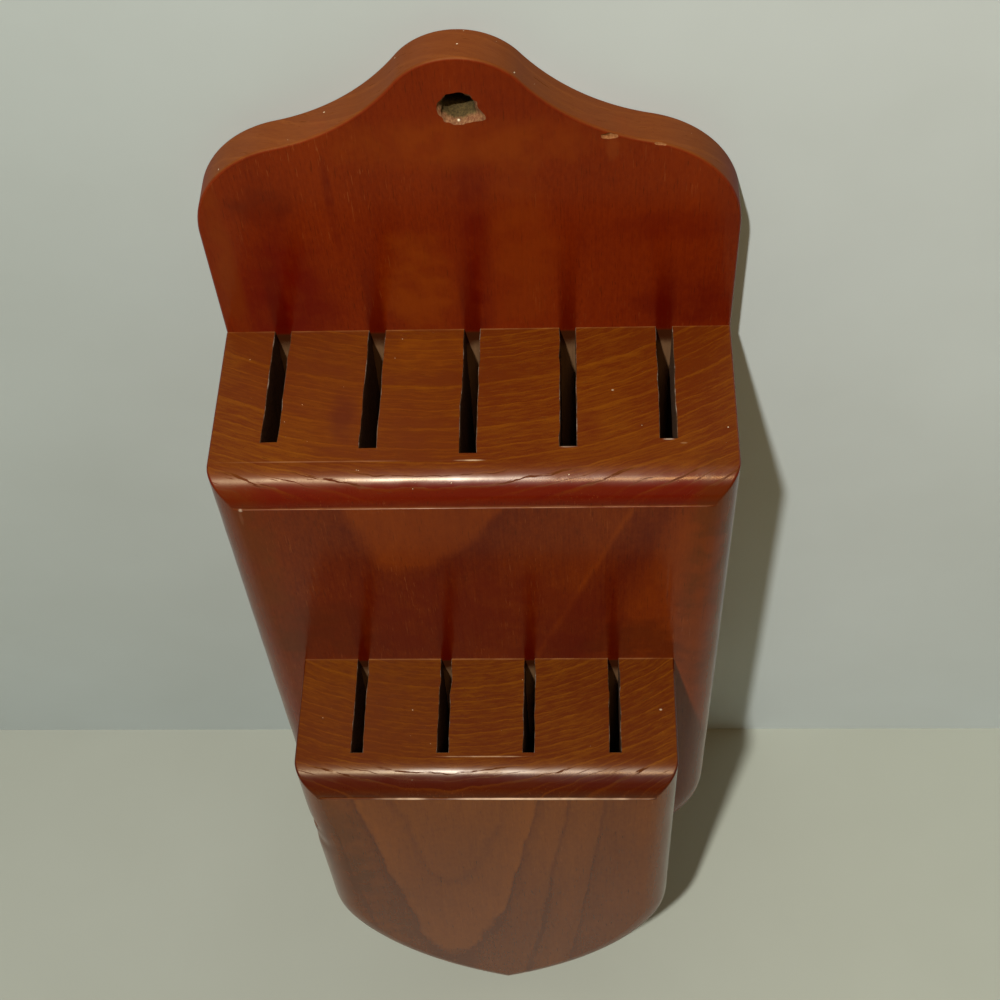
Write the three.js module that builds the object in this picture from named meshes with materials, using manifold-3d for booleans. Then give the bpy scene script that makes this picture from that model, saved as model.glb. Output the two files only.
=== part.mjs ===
// Wall knife block: a shaped back board, a wide upper block and a narrower lower block stacked face to
// face. The knife slots are grooves sawn down each block's back face, which the piece behind closes.
// Millimetres, +Z up, front towards -Y. The origin is the centre of the hanging hole on the back face.
import * as THREE from 'three';
import { mergeVertices } from 'three/addons/utils/BufferGeometryUtils.js';
import Module from 'manifold-3d';

const wasm = await Module();
wasm.setup();

// Heights: rises and drops are measured from the top face of the upper block
const crownRise = 103;
const shoulderRise = 42;
const lowerTopDrop = 96.9;
const sideEndDrop = 200;
const bottomHeight = 84;

// Back board
const boardWidth = 152.4;
const boardThickness = 11.3;
const shoulderRadius = 32.7;
const hollowRadius = 61.4;
const crownRadius = 20.8;
const hangHoleDiameter = 8;
const hangHoleBelowCrown = 16.5;

// Upper block, as wide as the board. The walls are the wood left in front of each slot.
const upperDepth = 59.2;
const upperBellyRadius = 203;
const upperSlotWidth = 4.8;
const upperSlotPitch = 28.8;
const upperSlotShift = -1.3;
const upperSlotWalls = [17.3, 14.9, 12.8, 14.9, 17.3];

// Lower block
const lowerWidth = 122;
const lowerDepth = 45.9;
const lowerBellyRadius = 113.5;
const lowerSlotWidth = 3.5;
const lowerSlotPitch = 27.5;
const lowerSlotWalls = [11.9, 11.9, 11.9, 11.9];

// Bottom outline and front edges, alike on both blocks. The lower block's corner arcs are drawn from
// two points this far each side of its centre line, which gives their radius.
const lowerCornerOffset = 5;
const tipRadius = 4.8;
const edgeRadius = 9.5;
const edgeStep = 0.35;

// Countersunk wood screws, driven through the board into the upper block's outer lands
const screwLength = 32;
const screwShankDiameter = 4.2;
const screwHeadDiameter = 8.3;
const screwHeadHeight = 2.6;
const screwRimHeight = 0.3;
const screwPointLength = 6;
const screwSlotWidth = 1.2;
const screwSlotDepth = 1.1;
const screwSink = 0.6;
const screwTopMargin = 30;
const screwEndMargin = 30;

// Blind dowels between the upper block's front face and the lower block's back face
const dowelDiameter = 6;
const dowelLength = 26;
const dowelChamfer = 0.8;
const dowelTopMargin = 25;
const dowelEndMargin = 12;

// Room round a screw or dowel in its hole
const fitClearance = 0.25;

// Fineness of the curves
const arcSteps = 16;
const tipSteps = 4;
const edgeSteps = 8;
const roundSides = 32;

// Planes that the pieces share
const upperTop = hangHoleBelowCrown - crownRise;
const boardFront = -boardThickness;
const upperFront = boardFront - upperDepth;
const lowerFront = upperFront - lowerDepth;
const lowerTop = upperTop - lowerTopDrop;
const sideEnd = upperTop - sideEndDrop;
const tipLevel = sideEnd - bottomHeight;
const crownTop = upperTop + crownRise;

const cornerRadius = lowerWidth / 2 - lowerCornerOffset;

// Cuts run this far past the faces that they open
const overcut = 2;

const upper = {
  width: boardWidth,
  top: upperTop,
  back: boardFront,
  front: upperFront,
  bellyRadius: upperBellyRadius,
  slotWidth: upperSlotWidth,
  slotPitch: upperSlotPitch,
  slotShift: upperSlotShift,
  slotWalls: upperSlotWalls,
};
const lower = {
  width: lowerWidth,
  top: lowerTop,
  back: upperFront,
  front: lowerFront,
  bellyRadius: lowerBellyRadius,
  slotWidth: lowerSlotWidth,
  slotPitch: lowerSlotPitch,
  slotShift: 0,
  slotWalls: lowerSlotWalls,
};

const lacqueredWood = new THREE.MeshStandardMaterial({ color: 0x8a3d16, roughness: 0.25, metalness: 0 });
const bareWood = new THREE.MeshStandardMaterial({ color: 0xcaa877, roughness: 0.7, metalness: 0 });
const platedSteel = new THREE.MeshStandardMaterial({ color: 0xb8b4a6, roughness: 0.35, metalness: 1 });

// The upper of the two points where two circles cross
function upperCrossing(a, radiusA, b, radiusB) {
  const span = a.distanceTo(b);
  const along = (radiusA ** 2 - radiusB ** 2 + span ** 2) / (2 * span);
  const across = Math.sqrt(radiusA ** 2 - along ** 2);
  const direction = b.clone().sub(a).divideScalar(span);
  const foot = a.clone().addScaledVector(direction, along);
  const normal = new THREE.Vector2(direction.y, -direction.x);
  const crossings = [across, -across].map((offset) => foot.clone().addScaledVector(normal, offset));
  return crossings.sort((p, q) => q.y - p.y)[0];
}

function arcPoints(centre, radius, startAngle, endAngle, steps) {
  const clockwise = endAngle < startAngle;
  return new THREE.ArcCurve(centre.x, centre.y, radius, startAngle, endAngle, clockwise).getPoints(steps);
}

function angleTo(from, to) {
  return Math.atan2(to.y - from.y, to.x - from.x);
}

// Right half of a pointed bottom seen from the front, from the end of the straight side down to the
// tip: a corner arc, a wide belly arc and a small arc round the tip, each tangent to the next. The
// whole outline can be set in by a distance, which closes the tip's arc to a point.
function bottomHalf(width, bellyRadius, inset) {
  const corner = new THREE.Vector2(width / 2 - cornerRadius, sideEnd);
  const tip = new THREE.Vector2(0, tipLevel + tipRadius);
  const belly = upperCrossing(corner, bellyRadius - cornerRadius, tip, bellyRadius - tipRadius);
  const bellyReach = bellyRadius - inset;
  const point = new THREE.Vector2(0, belly.y - Math.sqrt(bellyReach ** 2 - belly.x ** 2));
  const tipIsRound = inset < tipRadius;
  const cornerEnd = angleTo(belly, corner);
  const bellyEnd = angleTo(belly, tipIsRound ? tip : point);
  const tipArc = tipIsRound
    ? arcPoints(tip, tipRadius - inset, bellyEnd, -Math.PI / 2, tipSteps)
    : Array(tipSteps + 1).fill(point);
  return [
    ...arcPoints(corner, cornerRadius - inset, 0, cornerEnd, arcSteps),
    ...arcPoints(belly, bellyReach, cornerEnd, bellyEnd, arcSteps).slice(1),
    ...tipArc.slice(1),
  ];
}

// A half outline from the right round to the centre line, with its mirror image after it
function mirrored(half) {
  const left = half.slice(0, -1).reverse();
  return [...half, ...left.map((p) => new THREE.Vector2(-p.x, p.y))];
}

// Right half of the board's top: shoulder arc, hollow arc and crown arc, each tangent to the next
function crownHalf() {
  const shoulder = new THREE.Vector2(boardWidth / 2 - shoulderRadius, upperTop + shoulderRise);
  const crown = new THREE.Vector2(0, crownTop - crownRadius);
  const hollow = upperCrossing(shoulder, shoulderRadius + hollowRadius, crown, crownRadius + hollowRadius);
  const hollowStart = angleTo(hollow, shoulder);
  const hollowEnd = angleTo(hollow, crown);
  return [
    ...arcPoints(shoulder, shoulderRadius, 0, angleTo(shoulder, hollow), arcSteps),
    ...arcPoints(hollow, hollowRadius, hollowStart, hollowEnd, arcSteps).slice(1),
    ...arcPoints(crown, crownRadius, angleTo(crown, hollow), Math.PI / 2, arcSteps).slice(1),
  ];
}

// A closed triangle mesh as a solid that can be cut
function solidOf(geometry) {
  geometry.deleteAttribute('normal');
  geometry.deleteAttribute('uv');
  const welded = mergeVertices(geometry);
  const corners = Array.from(welded.index.array);
  const triangles = [];
  for (let i = 0; i < corners.length; i += 3) {
    const [a, b, c] = corners.slice(i, i + 3);
    if (a !== b && b !== c && c !== a) {
      triangles.push(a, b, c);
    }
  }
  return new wasm.Manifold(new wasm.Mesh({
    numProp: 3,
    vertProperties: new Float32Array(welded.attributes.position.array),
    triVerts: new Uint32Array(triangles),
  }));
}

function pieceOf(name, solid, material) {
  const mesh = solid.getMesh();
  const geometry = new THREE.BufferGeometry();
  geometry.setAttribute('position', new THREE.BufferAttribute(mesh.vertProperties, 3));
  geometry.setIndex(new THREE.BufferAttribute(mesh.triVerts, 1));
  geometry.computeVertexNormals();
  const piece = new THREE.Mesh(geometry, material);
  piece.name = name;
  return piece;
}

// Skin over a row of equal-length outlines, each at its own Y, with flat ends
function loft(sections) {
  const count = sections[0].outline.length;
  const positions = sections.flatMap(({ y, outline }) => outline.flatMap((p) => [p.x, y, p.y]));
  const triangles = [];
  for (let ring = 0; ring + 1 < sections.length; ring += 1) {
    for (let i = 0; i < count; i += 1) {
      const next = (i + 1) % count;
      const a = ring * count + i;
      const b = ring * count + next;
      triangles.push(a, a + count, b, b, a + count, b + count);
    }
  }
  const lastRing = (sections.length - 1) * count;
  for (const [a, b, c] of THREE.ShapeUtils.triangulateShape(sections[0].outline, [])) {
    triangles.push(a, c, b);
  }
  for (const [a, b, c] of THREE.ShapeUtils.triangulateShape(sections.at(-1).outline, [])) {
    triangles.push(lastRing + a, lastRing + b, lastRing + c);
  }
  const geometry = new THREE.BufferGeometry();
  geometry.setAttribute('position', new THREE.Float32BufferAttribute(positions, 3));
  geometry.setIndex(triangles);
  return geometry;
}

// How far a quarter-round of the edge radius has come in, this deep behind the face that it ends on
function roundInset(depth) {
  const left = edgeRadius - Math.max(depth, 0);
  return left > 0 ? edgeRadius - Math.sqrt(edgeRadius ** 2 - left ** 2) : 0;
}

// Block outline seen from the front: straight top and sides over the pointed bottom. The top edge is
// cut a little deeper than the sides, which leaves a small step along its lower end.
function blockOutline(block, depth) {
  const sideInset = roundInset(depth);
  const topCorner = new THREE.Vector2(block.width / 2 - sideInset, block.top - roundInset(depth - edgeStep));
  return mirrored([topCorner, ...bottomHalf(block.width, block.bellyRadius, sideInset)]);
}

function slotCentres(block) {
  const middle = (block.slotWalls.length - 1) / 2;
  return block.slotWalls.map((_, i) => block.slotShift + (i - middle) * block.slotPitch);
}

// Solid block with its front edges rounded and its knife grooves sawn down the whole back face
function blockSolid(block) {
  const depths = [];
  for (let step = 0; step <= edgeSteps; step += 1) {
    const angle = (Math.PI / 2) * (step / edgeSteps);
    depths.push(edgeStep + edgeRadius * (1 - Math.sin(angle)));
  }
  const sections = [
    { y: block.back, outline: blockOutline(block, block.back - block.front) },
    ...depths.map((depth) => ({ y: block.front + depth, outline: blockOutline(block, depth) })),
    { y: block.front, outline: blockOutline(block, 0) },
  ];
  let solid = solidOf(loft(sections));
  const grooveHeight = block.top - tipLevel + 2 * overcut;
  slotCentres(block).forEach((x, i) => {
    const grooveFront = block.front + block.slotWalls[i];
    const grooveBack = block.back + overcut;
    const groove = new THREE.BoxGeometry(block.slotWidth, grooveBack - grooveFront, grooveHeight);
    groove.translate(x, (grooveFront + grooveBack) / 2, block.top + overcut - grooveHeight / 2);
    solid = solid.subtract(solidOf(groove));
  });
  return solid;
}

// Flat board with square edges, as wide as the upper block and flush with its bottom
function boardSolid() {
  const halfOutline = [...crownHalf().reverse(), ...bottomHalf(boardWidth, upperBellyRadius, 0)];
  const left = halfOutline.slice(1, -1).reverse().map((p) => new THREE.Vector2(-p.x, p.y));
  const outline = new THREE.Shape([...halfOutline, ...left]);
  const board = new THREE.ExtrudeGeometry(outline, { depth: boardThickness, bevelEnabled: false });
  board.rotateX(Math.PI / 2);
  const hole = new THREE.CylinderGeometry(
    hangHoleDiameter / 2, hangHoleDiameter / 2, boardThickness + 2 * overcut, roundSides);
  hole.translate(0, -boardThickness / 2, 0);
  return solidOf(board).subtract(solidOf(hole));
}

// Countersunk screw with its head's face at y = 0 and its point towards -Y. With room round it, the
// same outline cuts its hole, open past the head.
function screwProfile(room) {
  const headRadius = screwHeadDiameter / 2 + room;
  const shankRadius = screwShankDiameter / 2 + room;
  const face = room > 0 ? screwSink + overcut : 0;
  return [
    new THREE.Vector2(0, -screwLength - room),
    new THREE.Vector2(shankRadius, -screwLength + screwPointLength - room),
    new THREE.Vector2(shankRadius, -screwHeadHeight),
    new THREE.Vector2(headRadius, -screwRimHeight),
    new THREE.Vector2(headRadius, face),
    new THREE.Vector2(0, face),
  ];
}

function screwSolid(room) {
  const body = solidOf(new THREE.LatheGeometry(screwProfile(room), roundSides));
  if (room > 0) {
    return body;
  }
  const slot = new THREE.BoxGeometry(screwHeadDiameter + 2 * overcut, 2 * screwSlotDepth, screwSlotWidth);
  return body.subtract(solidOf(slot));
}

// Dowel along Y, chamfered at both ends, centred on the origin; room makes the hole that it fits
function dowelSolid(room) {
  const radius = dowelDiameter / 2 + room;
  const halfLength = dowelLength / 2 + room;
  const profile = [
    new THREE.Vector2(0, -halfLength),
    new THREE.Vector2(radius - dowelChamfer, -halfLength),
    new THREE.Vector2(radius, -halfLength + dowelChamfer),
    new THREE.Vector2(radius, halfLength - dowelChamfer),
    new THREE.Vector2(radius - dowelChamfer, halfLength),
    new THREE.Vector2(0, halfLength),
  ];
  return solidOf(new THREE.LatheGeometry(profile, roundSides));
}

// X of the side wall of a block's outermost slot on one side: the wall facing out, or the one facing in
function outerSlotWall(block, side, facing) {
  const centres = slotCentres(block);
  const centre = side < 0 ? centres[0] : centres.at(-1);
  return centre + side * facing * (block.slotWidth / 2);
}

// One place on each side of the block at each height
function pairedPlaces(heights, y, xOnSide) {
  return heights.flatMap((z) => [-1, 1].map((side) => [xOnSide(side), y, z]));
}

// Screws stand midway between the outermost slot and the block's side
function screwPlaces() {
  const heights = [upperTop - screwTopMargin, sideEnd + screwEndMargin];
  return pairedPlaces(heights, -screwSink, (side) => {
    const blockSide = (side * boardWidth) / 2;
    return (outerSlotWall(upper, side, 1) + blockSide) / 2;
  });
}

// Dowels stand midway between the lower block's outermost slot and the upper block's outermost slot
function dowelPlaces() {
  const heights = [lowerTop - dowelTopMargin, sideEnd + dowelEndMargin];
  return pairedPlaces(heights, upperFront, (side) =>
    (outerSlotWall(lower, side, 1) + outerSlotWall(upper, side, -1)) / 2);
}

function cutAt(solid, cutter, places) {
  return places.reduce((left, place) => left.subtract(cutter.translate(place)), solid);
}

const group = new THREE.Group();
const screwHole = screwSolid(fitClearance);
const dowelHole = dowelSolid(fitClearance);

const board = cutAt(boardSolid(), screwHole, screwPlaces());
const upperBlock = cutAt(cutAt(blockSolid(upper), screwHole, screwPlaces()), dowelHole, dowelPlaces());
const lowerBlock = cutAt(blockSolid(lower), dowelHole, dowelPlaces());
group.add(pieceOf('back_board', board, lacqueredWood));
group.add(pieceOf('upper_block', upperBlock, lacqueredWood));
group.add(pieceOf('lower_block', lowerBlock, lacqueredWood));

screwPlaces().forEach((place, i) => {
  const screw = pieceOf(`board_screw_${i + 1}`, screwSolid(0), platedSteel);
  screw.position.set(...place);
  group.add(screw);
});

dowelPlaces().forEach((place, i) => {
  const dowel = pieceOf(`dowel_${i + 1}`, dowelSolid(0), bareWood);
  dowel.position.set(...place);
  group.add(dowel);
});

export default group;
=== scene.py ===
import math

import bmesh
import bpy
import numpy as np
from mathutils import Matrix, Vector, noise
from mathutils.geometry import tessellate_polygon


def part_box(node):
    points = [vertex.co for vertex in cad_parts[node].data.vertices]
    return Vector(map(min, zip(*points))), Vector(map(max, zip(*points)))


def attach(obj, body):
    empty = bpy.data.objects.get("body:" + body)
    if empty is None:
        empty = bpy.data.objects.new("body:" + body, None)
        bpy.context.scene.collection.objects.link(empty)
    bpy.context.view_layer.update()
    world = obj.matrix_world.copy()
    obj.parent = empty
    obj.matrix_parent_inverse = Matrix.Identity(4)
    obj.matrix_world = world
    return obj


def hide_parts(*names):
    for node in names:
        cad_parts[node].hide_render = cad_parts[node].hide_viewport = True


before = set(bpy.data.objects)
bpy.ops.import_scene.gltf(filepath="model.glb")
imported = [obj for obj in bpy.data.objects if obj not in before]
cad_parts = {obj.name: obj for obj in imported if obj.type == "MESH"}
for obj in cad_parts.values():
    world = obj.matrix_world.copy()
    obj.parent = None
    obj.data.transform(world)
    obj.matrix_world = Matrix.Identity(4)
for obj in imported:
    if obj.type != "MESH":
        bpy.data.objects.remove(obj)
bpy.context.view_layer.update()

# Back board: one flat plank with a crowned top and a pointed bottom, stained red-brown and lacquered.
# Its edges were sanded just enough to break them. The hanging hole tore the wood round its rim when it
# was drilled, and knocks have chipped the top edge.
mm = 0.001
board_low, board_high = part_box("back_board")
upper_low, upper_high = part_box("upper_block")
board_width = board_high.x - board_low.x
board_front = board_low.y
upper_top = upper_high.z
tip_level = upper_low.z
side_end = upper_top - 200 * mm
shoulder_rise = 42 * mm
shoulder_radius = 32.7 * mm
hollow_radius = 61.4 * mm
crown_radius = 20.8 * mm
corner_radius = 56 * mm
tip_radius = 4.8 * mm
upper_belly_radius = 203 * mm
crown_steps, hollow_steps, shoulder_steps = 40, 50, 40
side_steps = 100
corner_steps, belly_steps, tip_steps = 40, 60, 8
board_arris = 0.8 * mm
bore_radius = 4 * mm
bore_sides = 96
torn_rim_radius = 5.4 * mm
flake_length = 2.6 * mm
flake_angle = math.radians(-28)
flake_spread = 0.26
upper_slots = {"shift": -1.3 * mm, "pitch": 28.8 * mm, "width": 4.8 * mm}
weld_distance = 0.002 * mm
overcut = 2 * mm
sharp_angle = math.radians(32)
screw_nodes = [f"board_screw_{i}" for i in (1, 2, 3, 4)]
screws_at = [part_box(node) for node in screw_nodes]
screw_head_radius = (screws_at[0][1].x - screws_at[0][0].x) / 2
screw_head_rim = 0.3 * mm
screw_head_depth = 2.6 * mm
screw_shank_radius = 2.1 * mm
round_sides = 32
screw_room = 0.15 * mm


def arc(centre, radius, start, end, count):
    """Points on an arc between two angles, with this many steps."""
    angles = np.linspace(start, end, count + 1)
    return np.asarray(centre) + radius * np.stack([np.cos(angles), np.sin(angles)], axis=1)


def angle_to(a, b):
    return math.atan2(b[1] - a[1], b[0] - a[0])


def upper_crossing(a, radius_a, b, radius_b):
    """The upper of the two points where two circles cross."""
    a, b = np.asarray(a), np.asarray(b)
    span = np.linalg.norm(b - a)
    along = (radius_a**2 - radius_b**2 + span**2) / (2 * span)
    across = math.sqrt(radius_a**2 - along**2)
    direction = (b - a) / span
    normal = np.array([direction[1], -direction[0]])
    crossings = [a + along * direction + side * across * normal for side in (1, -1)]
    return max(crossings, key=lambda point: point[1])


def bottom_half(width, belly_radius, inset):
    """Right half of a pointed bottom, from the end of the straight side to the tip, in X and Z."""
    corner = (width / 2 - corner_radius, side_end)
    tip = (0, tip_level + tip_radius)
    belly = upper_crossing(corner, belly_radius - corner_radius, tip, belly_radius - tip_radius)
    reach = belly_radius - inset
    point = (0, belly[1] - math.sqrt(reach**2 - belly[0] ** 2))
    tip_is_round = inset < tip_radius
    corner_turn = angle_to(belly, corner)
    belly_turn = angle_to(belly, tip if tip_is_round else point)
    tip_arc = np.tile(point, (tip_steps + 1, 1))
    if tip_is_round:
        tip_arc = arc(tip, tip_radius - inset, belly_turn, -math.pi / 2, tip_steps)
    return np.concatenate([
        arc(corner, corner_radius - inset, 0, corner_turn, corner_steps),
        arc(belly, reach, corner_turn, belly_turn, belly_steps)[1:],
        tip_arc[1:],
    ])


def mirrored(half):
    """A half outline from the top middle round to the tip, closed with its mirror image."""
    return np.concatenate([half, half[-2:0:-1] * (-1, 1)])


def crown_half():
    """Right half of the board's top: crown, hollow and shoulder, down to the straight side."""
    shoulder = (board_width / 2 - shoulder_radius, upper_top + shoulder_rise)
    crown = (0, board_high.z - crown_radius)
    hollow = upper_crossing(
        shoulder, shoulder_radius + hollow_radius, crown, crown_radius + hollow_radius
    )
    hollow_start, hollow_end = angle_to(hollow, crown), angle_to(hollow, shoulder)
    return np.concatenate([
        arc(crown, crown_radius, math.pi / 2, angle_to(crown, hollow), crown_steps),
        arc(hollow, hollow_radius, hollow_start, hollow_end, hollow_steps)[1:],
        arc(shoulder, shoulder_radius, angle_to(shoulder, hollow), 0, shoulder_steps)[1:],
    ])


def set_in(outline, distance):
    """The outline moved inwards."""
    along = np.roll(outline, -1, axis=0) - np.roll(outline, 1, axis=0)
    along /= np.linalg.norm(along, axis=1)[:, None]
    return outline + distance * np.stack([along[:, 1], -along[:, 0]], axis=1)


def add_object(name, data):
    thing = bpy.data.objects.new(name, data)
    bpy.context.collection.objects.link(thing)
    return thing


def new_piece(name, vertices, faces):
    mesh = bpy.data.meshes.new(name)
    mesh.from_pydata([tuple(v) for v in vertices], [], faces)
    shape = bmesh.new()
    shape.from_mesh(mesh)
    bmesh.ops.remove_doubles(shape, verts=shape.verts, dist=weld_distance)
    bmesh.ops.recalc_face_normals(shape, faces=shape.faces)
    shape.to_mesh(mesh)
    shape.free()
    return add_object(name, mesh)


def skin(name, rings):
    """A closed skin over outlines of equal length, each given with its Y."""
    count = len(rings[0][1])
    vertices = [(x, y, z) for y, outline in rings for x, z in outline]
    faces = [list(range(count)), list(range(len(vertices) - count, len(vertices)))]
    for start in range(0, len(vertices) - count, count):
        for i in range(count):
            j = (i + 1) % count
            faces.append([start + i, start + j, start + count + j, start + count + i])
    return new_piece(name, vertices, faces)


def settled(piece):
    """Swaps the piece's mesh for what its modifiers make of it."""
    graph = bpy.context.evaluated_depsgraph_get()
    mesh = bpy.data.meshes.new_from_object(piece.evaluated_get(graph))
    piece.modifiers.clear()
    piece.data = mesh


def cut(piece, cutter, finish):
    """Takes the cutter out of the piece and gives the new faces a finish. The cutter goes in as
    triangles, because its bent quads would leave slivers."""
    shape = bmesh.new()
    shape.from_mesh(cutter.data)
    bmesh.ops.triangulate(shape, faces=shape.faces)
    shape.to_mesh(cutter.data)
    shape.free()
    cutter.data.materials.append(finish)
    tool = piece.modifiers.new("cut", "BOOLEAN")
    tool.operation = "DIFFERENCE"
    tool.solver = "EXACT"
    tool.material_mode = "TRANSFER"
    tool.object = cutter
    settled(piece)
    bpy.data.objects.remove(cutter)


def shade(piece):
    """Smooth shading that keeps real corners sharp and flat faces flat."""
    for polygon in piece.data.polygons:
        polygon.use_smooth = True
    piece.data.set_sharp_from_angle(angle=sharp_angle)
    normals = piece.modifiers.new("normals", "WEIGHTED_NORMAL")
    normals.keep_sharp = True
    settled(piece)


def rough_blob(name, centre, radii, seed):
    """A lumpy stone-like shape, which leaves a chip where it is cut from an edge."""
    lump_height, lump_rate = 0.35, 1.7
    shape = bmesh.new()
    bmesh.ops.create_icosphere(shape, subdivisions=3, radius=1)
    for vertex in shape.verts:
        lump = 1 + lump_height * noise.noise(vertex.co * lump_rate + Vector((seed, 0, 0)))
        vertex.co = Vector(centre) + Vector(c * r * lump for c, r in zip(vertex.co, radii))
    mesh = bpy.data.meshes.new(name)
    shape.to_mesh(mesh)
    shape.free()
    return add_object(name, mesh)


def circle(radius, sides):
    """A round outline; radius is one number or one for each corner."""
    angles = np.linspace(0, 2 * math.pi, sides, endpoint=False)
    radius = np.broadcast_to(radius, sides)[:, None]
    return radius * np.stack([np.cos(angles), np.sin(angles)], axis=1)


def drill(piece, box, profile, finish):
    """Takes a round hole out of the piece where a CAD node stands, given its radius at each Y."""
    low, high = box
    middle = np.array([(low.x + high.x) / 2, (low.z + high.z) / 2])
    rings = [(y, circle(radius, round_sides) + middle) for y, radius in profile]
    cut(piece, skin("drill", rings), finish)


def drill_for_screws(piece, finish):
    """Countersunk from behind, with a little room round each screw."""
    head, shank = screw_head_radius + screw_room, screw_shank_radius + screw_room
    for low, high in screws_at:
        profile = [(high.y + overcut, head), (high.y - screw_head_rim, head)]
        profile += [(high.y - screw_head_depth, shank), (low.y - screw_room, shank)]
        drill(piece, (low, high), profile, finish)


class Wire:
    """A value, vector or colour on its way through a node tree."""

    def __init__(self, socket):
        self.socket = socket

    def node(self, kind, settings, inputs, output=0):
        """Adds a node, with its settings first and then its values or links, and gives an output."""
        made = self.socket.id_data.nodes.new(kind)
        for key, value in settings.items():
            if key == "stops":
                ramp = made.color_ramp
                while len(ramp.elements) < len(value):
                    ramp.elements.new(0.5)
                for element, (position, colour) in zip(ramp.elements, value):
                    element.position = position
                    element.color = (*colour, 1)
            else:
                setattr(made, key, value)
        for key, value in inputs.items():
            if isinstance(value, Wire):
                self.socket.id_data.links.new(value.socket, made.inputs[key])
            else:
                made.inputs[key].default_value = value
        return Wire(made.outputs[output])

    def math(self, operation, *values):
        return self.node("ShaderNodeMath", {"operation": operation}, dict(enumerate(values)))

    def __add__(self, other):
        return self.math("ADD", self, other)

    def __sub__(self, other):
        return self.math("SUBTRACT", self, other)

    def __rsub__(self, other):
        return self.math("SUBTRACT", other, self)

    def __mul__(self, other):
        return self.math("MULTIPLY", self, other)

    def __truediv__(self, other):
        return self.math("DIVIDE", self, other)

    def __pow__(self, other):
        return self.math("POWER", self, other)

    __radd__ = __add__
    __rmul__ = __mul__

    def part(self, index):
        return self.node("ShaderNodeSeparateXYZ", {}, {0: self}, index)

    def stretched(self, *scales):
        return self.node("ShaderNodeVectorMath", {"operation": "MULTIPLY"}, {0: self, 1: scales})

    def clouds(self, scale, detail, seed, roughness=0.5):
        return self.node(
            "ShaderNodeTexNoise",
            {"noise_dimensions": "4D"},
            {"Vector": self, "W": seed, "Scale": scale, "Detail": detail, "Roughness": roughness},
        )

    def rise(self, low, high):
        """0 below low, 1 above high, and a smooth step between them."""
        return self.node(
            "ShaderNodeMapRange",
            {"interpolation_type": "SMOOTHSTEP"},
            {"Value": self, "From Min": low, "From Max": high},
        )

    def curve(self, *stops):
        """A value read off a row of (position, value) stops."""
        grey = [(position, (value, value, value)) for position, value in stops]
        return self.node("ShaderNodeValToRGB", {"stops": grey}, {0: self})

    def between(self, a, b):
        """Colour a where the value is 0, colour b where it is 1."""
        a, b = [c if isinstance(c, Wire) else (*c, 1) for c in (a, b)]
        return self.node("ShaderNodeMix", {"data_type": "RGBA"}, {0: self, 6: a, 7: b}, 2)

    def bump(self, strength, distance):
        """The normal of a surface that is as high as the value says."""
        heights = {"Height": self, "Strength": strength, "Distance": distance}
        return self.node("ShaderNodeBump", {}, heights)


def spot(place, centre, radii, ragged):
    """1 inside a place on the piece, given in millimetres, and 0 outside its ragged oval edge."""
    away = place.node("ShaderNodeVectorMath", {"operation": "SUBTRACT"}, {0: place, 1: centre})
    away = away.stretched(*(1 / r for r in radii))
    length = away.node("ShaderNodeVectorMath", {"operation": "LENGTH"}, {0: away}, "Value")
    return 1 - (length + ragged).rise(0.5, 1.5)


def new_material(name, **settings):
    """A material, its shader with some sockets set, and the place on the piece in millimetres."""
    material = bpy.data.materials.new(name)
    material.use_nodes = True
    shader = material.node_tree.nodes["Principled BSDF"]
    for label, value in settings.items():
        shader.inputs[label.replace("_", " ")].default_value = value
    place = Wire(material.node_tree.nodes.new("ShaderNodeTexCoord").outputs["Object"])
    return material, shader, place.stretched(1 / mm, 1 / mm, 1 / mm)


def feed(shader, **wires):
    """Links each wire to the shader's socket of that name."""
    for label, wire in wires.items():
        wire.socket.id_data.links.new(wire.socket, shader.inputs[label.replace("_", " ")])


lacquer = {
    "IOR": 1.32,
    "Specular_Tint": (1, 0.8, 0.52, 1),
    "Coat_Roughness": 0.26,
    "Coat_Tint": (1, 0.93, 0.8, 1),
}
pore_colour = (0.03, 0.004, 0.0006)
dust_colour = (0.6, 0.5, 0.35)
filler_colour = (0.3, 0.08, 0.02)
bare_colours = ((0.1, 0.048, 0.022), (0.23, 0.125, 0.06))
# Colours of the painted shade in the slot mouths and of the painted reflections of the slots in the
# lacquer, and how high those reflections reach.
slot_shade_colour = (0.045, 0.011, 0.003)
slot_reflection_colour = (0.07, 0.0015, 0.0004)
slot_reflection_height = 42


def growth_rings(place, height, heart, lean, spacing, seed):
    """The rings round a leaning heart line: the radius, the radius with its finer waves, how far round
    the heart the place is, and how dark each ring's line is."""
    wobble = place.stretched(1, 1, 0.5).clouds(0.05, 4, seed, 0.6) - 0.5
    across = place.part(0) - heart[0] - height * lean[0]
    away = heart[1] - place.part(1) + height * lean[1]
    radius = (across**2 + away**2) ** 0.5 + wobble * 1.5
    waves = place.stretched(1, 1, 0.2).clouds(0.13, 3, seed + 11, 0.6) - 0.5
    wavy = radius + waves * 1.9
    rings = wavy / spacing
    uneven = rings.node(
        "ShaderNodeTexNoise", {"noise_dimensions": "1D"}, {"W": rings, "Scale": 0.6, "Detail": 0}
    )
    phase = rings.math("FRACT", rings + uneven * 0.9)
    line = phase.curve(
        (0, 0.7), (0.05, 1), (0.14, 0.3), (0.5, 0.1), (0.57, 0.6), (0.66, 0.1), (0.94, 0)
    )
    return radius, wavy, across / away, line


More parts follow.
